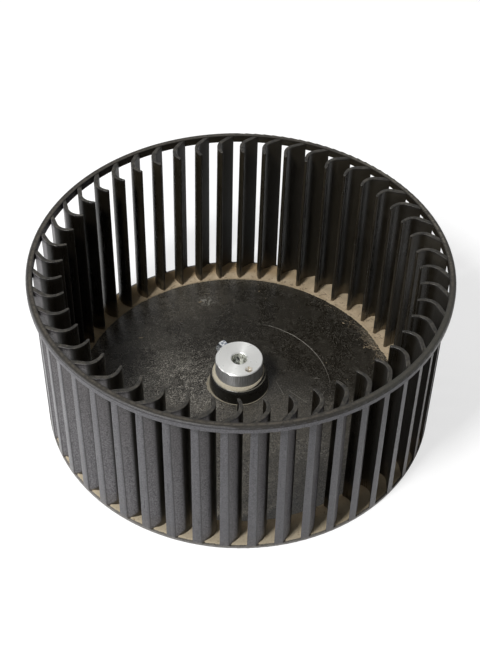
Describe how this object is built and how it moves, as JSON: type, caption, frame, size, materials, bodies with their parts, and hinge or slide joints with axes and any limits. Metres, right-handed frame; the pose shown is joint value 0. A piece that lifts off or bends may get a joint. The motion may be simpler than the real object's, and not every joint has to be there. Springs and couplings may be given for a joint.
{
  "type": "blower wheel",
  "caption": "Forward-curved squirrel-cage blower wheel: dished back plate, ring of curved blades, inlet ring, and a metal hub with a hexagon-headed set screw.",
  "frame": {"origin": "on the shaft axis, in the plane of the wheel's lowest face (underside of the back plate's rim)", "axes": "+Z along the shaft axis, from the back plate towards the open inlet; X and Y square to it"},
  "size_m": [0.254, 0.254, 0.115],
  "materials": {
    "moulded_plastic": "fine-textured black moulded plastic",
    "plate_plastic": "black moulded plastic, mottled and lightly scuffed, dusty at the rim",
    "hub_aluminium": "turned bare metal",
    "screw_steel": "plain steel"
  },
  "bodies": {
    "wheel": {"back_plate": "plate_plastic", "inlet_ring": "moulded_plastic", "hub_boss": "plate_plastic", "hub_insert": "hub_aluminium", "blade_01": "moulded_plastic", "blade_02": "moulded_plastic", "blade_03": "moulded_plastic", "blade_04": "moulded_plastic", "blade_05": "moulded_plastic", "blade_06": "moulded_plastic", "blade_07": "moulded_plastic", "blade_08": "moulded_plastic", "blade_09": "moulded_plastic", "blade_10": "moulded_plastic", "blade_11": "moulded_plastic", "blade_12": "moulded_plastic", "blade_13": "moulded_plastic", "blade_14": "moulded_plastic", "blade_15": "moulded_plastic", "blade_16": "moulded_plastic", "blade_17": "moulded_plastic", "blade_18": "moulded_plastic", "blade_19": "moulded_plastic", "blade_20": "moulded_plastic", "blade_21": "moulded_plastic", "blade_22": "moulded_plastic", "blade_23": "moulded_plastic", "blade_24": "moulded_plastic", "blade_25": "moulded_plastic", "blade_26": "moulded_plastic", "blade_27": "moulded_plastic", "blade_28": "moulded_plastic", "blade_29": "moulded_plastic", "blade_30": "moulded_plastic", "blade_31": "moulded_plastic", "blade_32": "moulded_plastic", "blade_33": "moulded_plastic", "blade_34": "moulded_plastic", "blade_35": "moulded_plastic", "blade_36": "moulded_plastic", "blade_37": "moulded_plastic", "blade_38": "moulded_plastic", "blade_39": "moulded_plastic", "blade_40": "moulded_plastic", "blade_41": "moulded_plastic", "blade_42": "moulded_plastic", "blade_43": "moulded_plastic", "blade_44": "moulded_plastic", "blade_45": "moulded_plastic", "blade_46": "moulded_plastic", "blade_47": "moulded_plastic", "blade_48": "moulded_plastic"},
    "set_screw": {"set_screw": "screw_steel"}
  },
  "joints": [
    {"name": "set_screw_travel", "type": "slide", "parent": "wheel", "child": "set_screw", "axis": [-0.5736, 0.8192, 0], "range_m": [-0.0004, 0.008]}
  ]
}
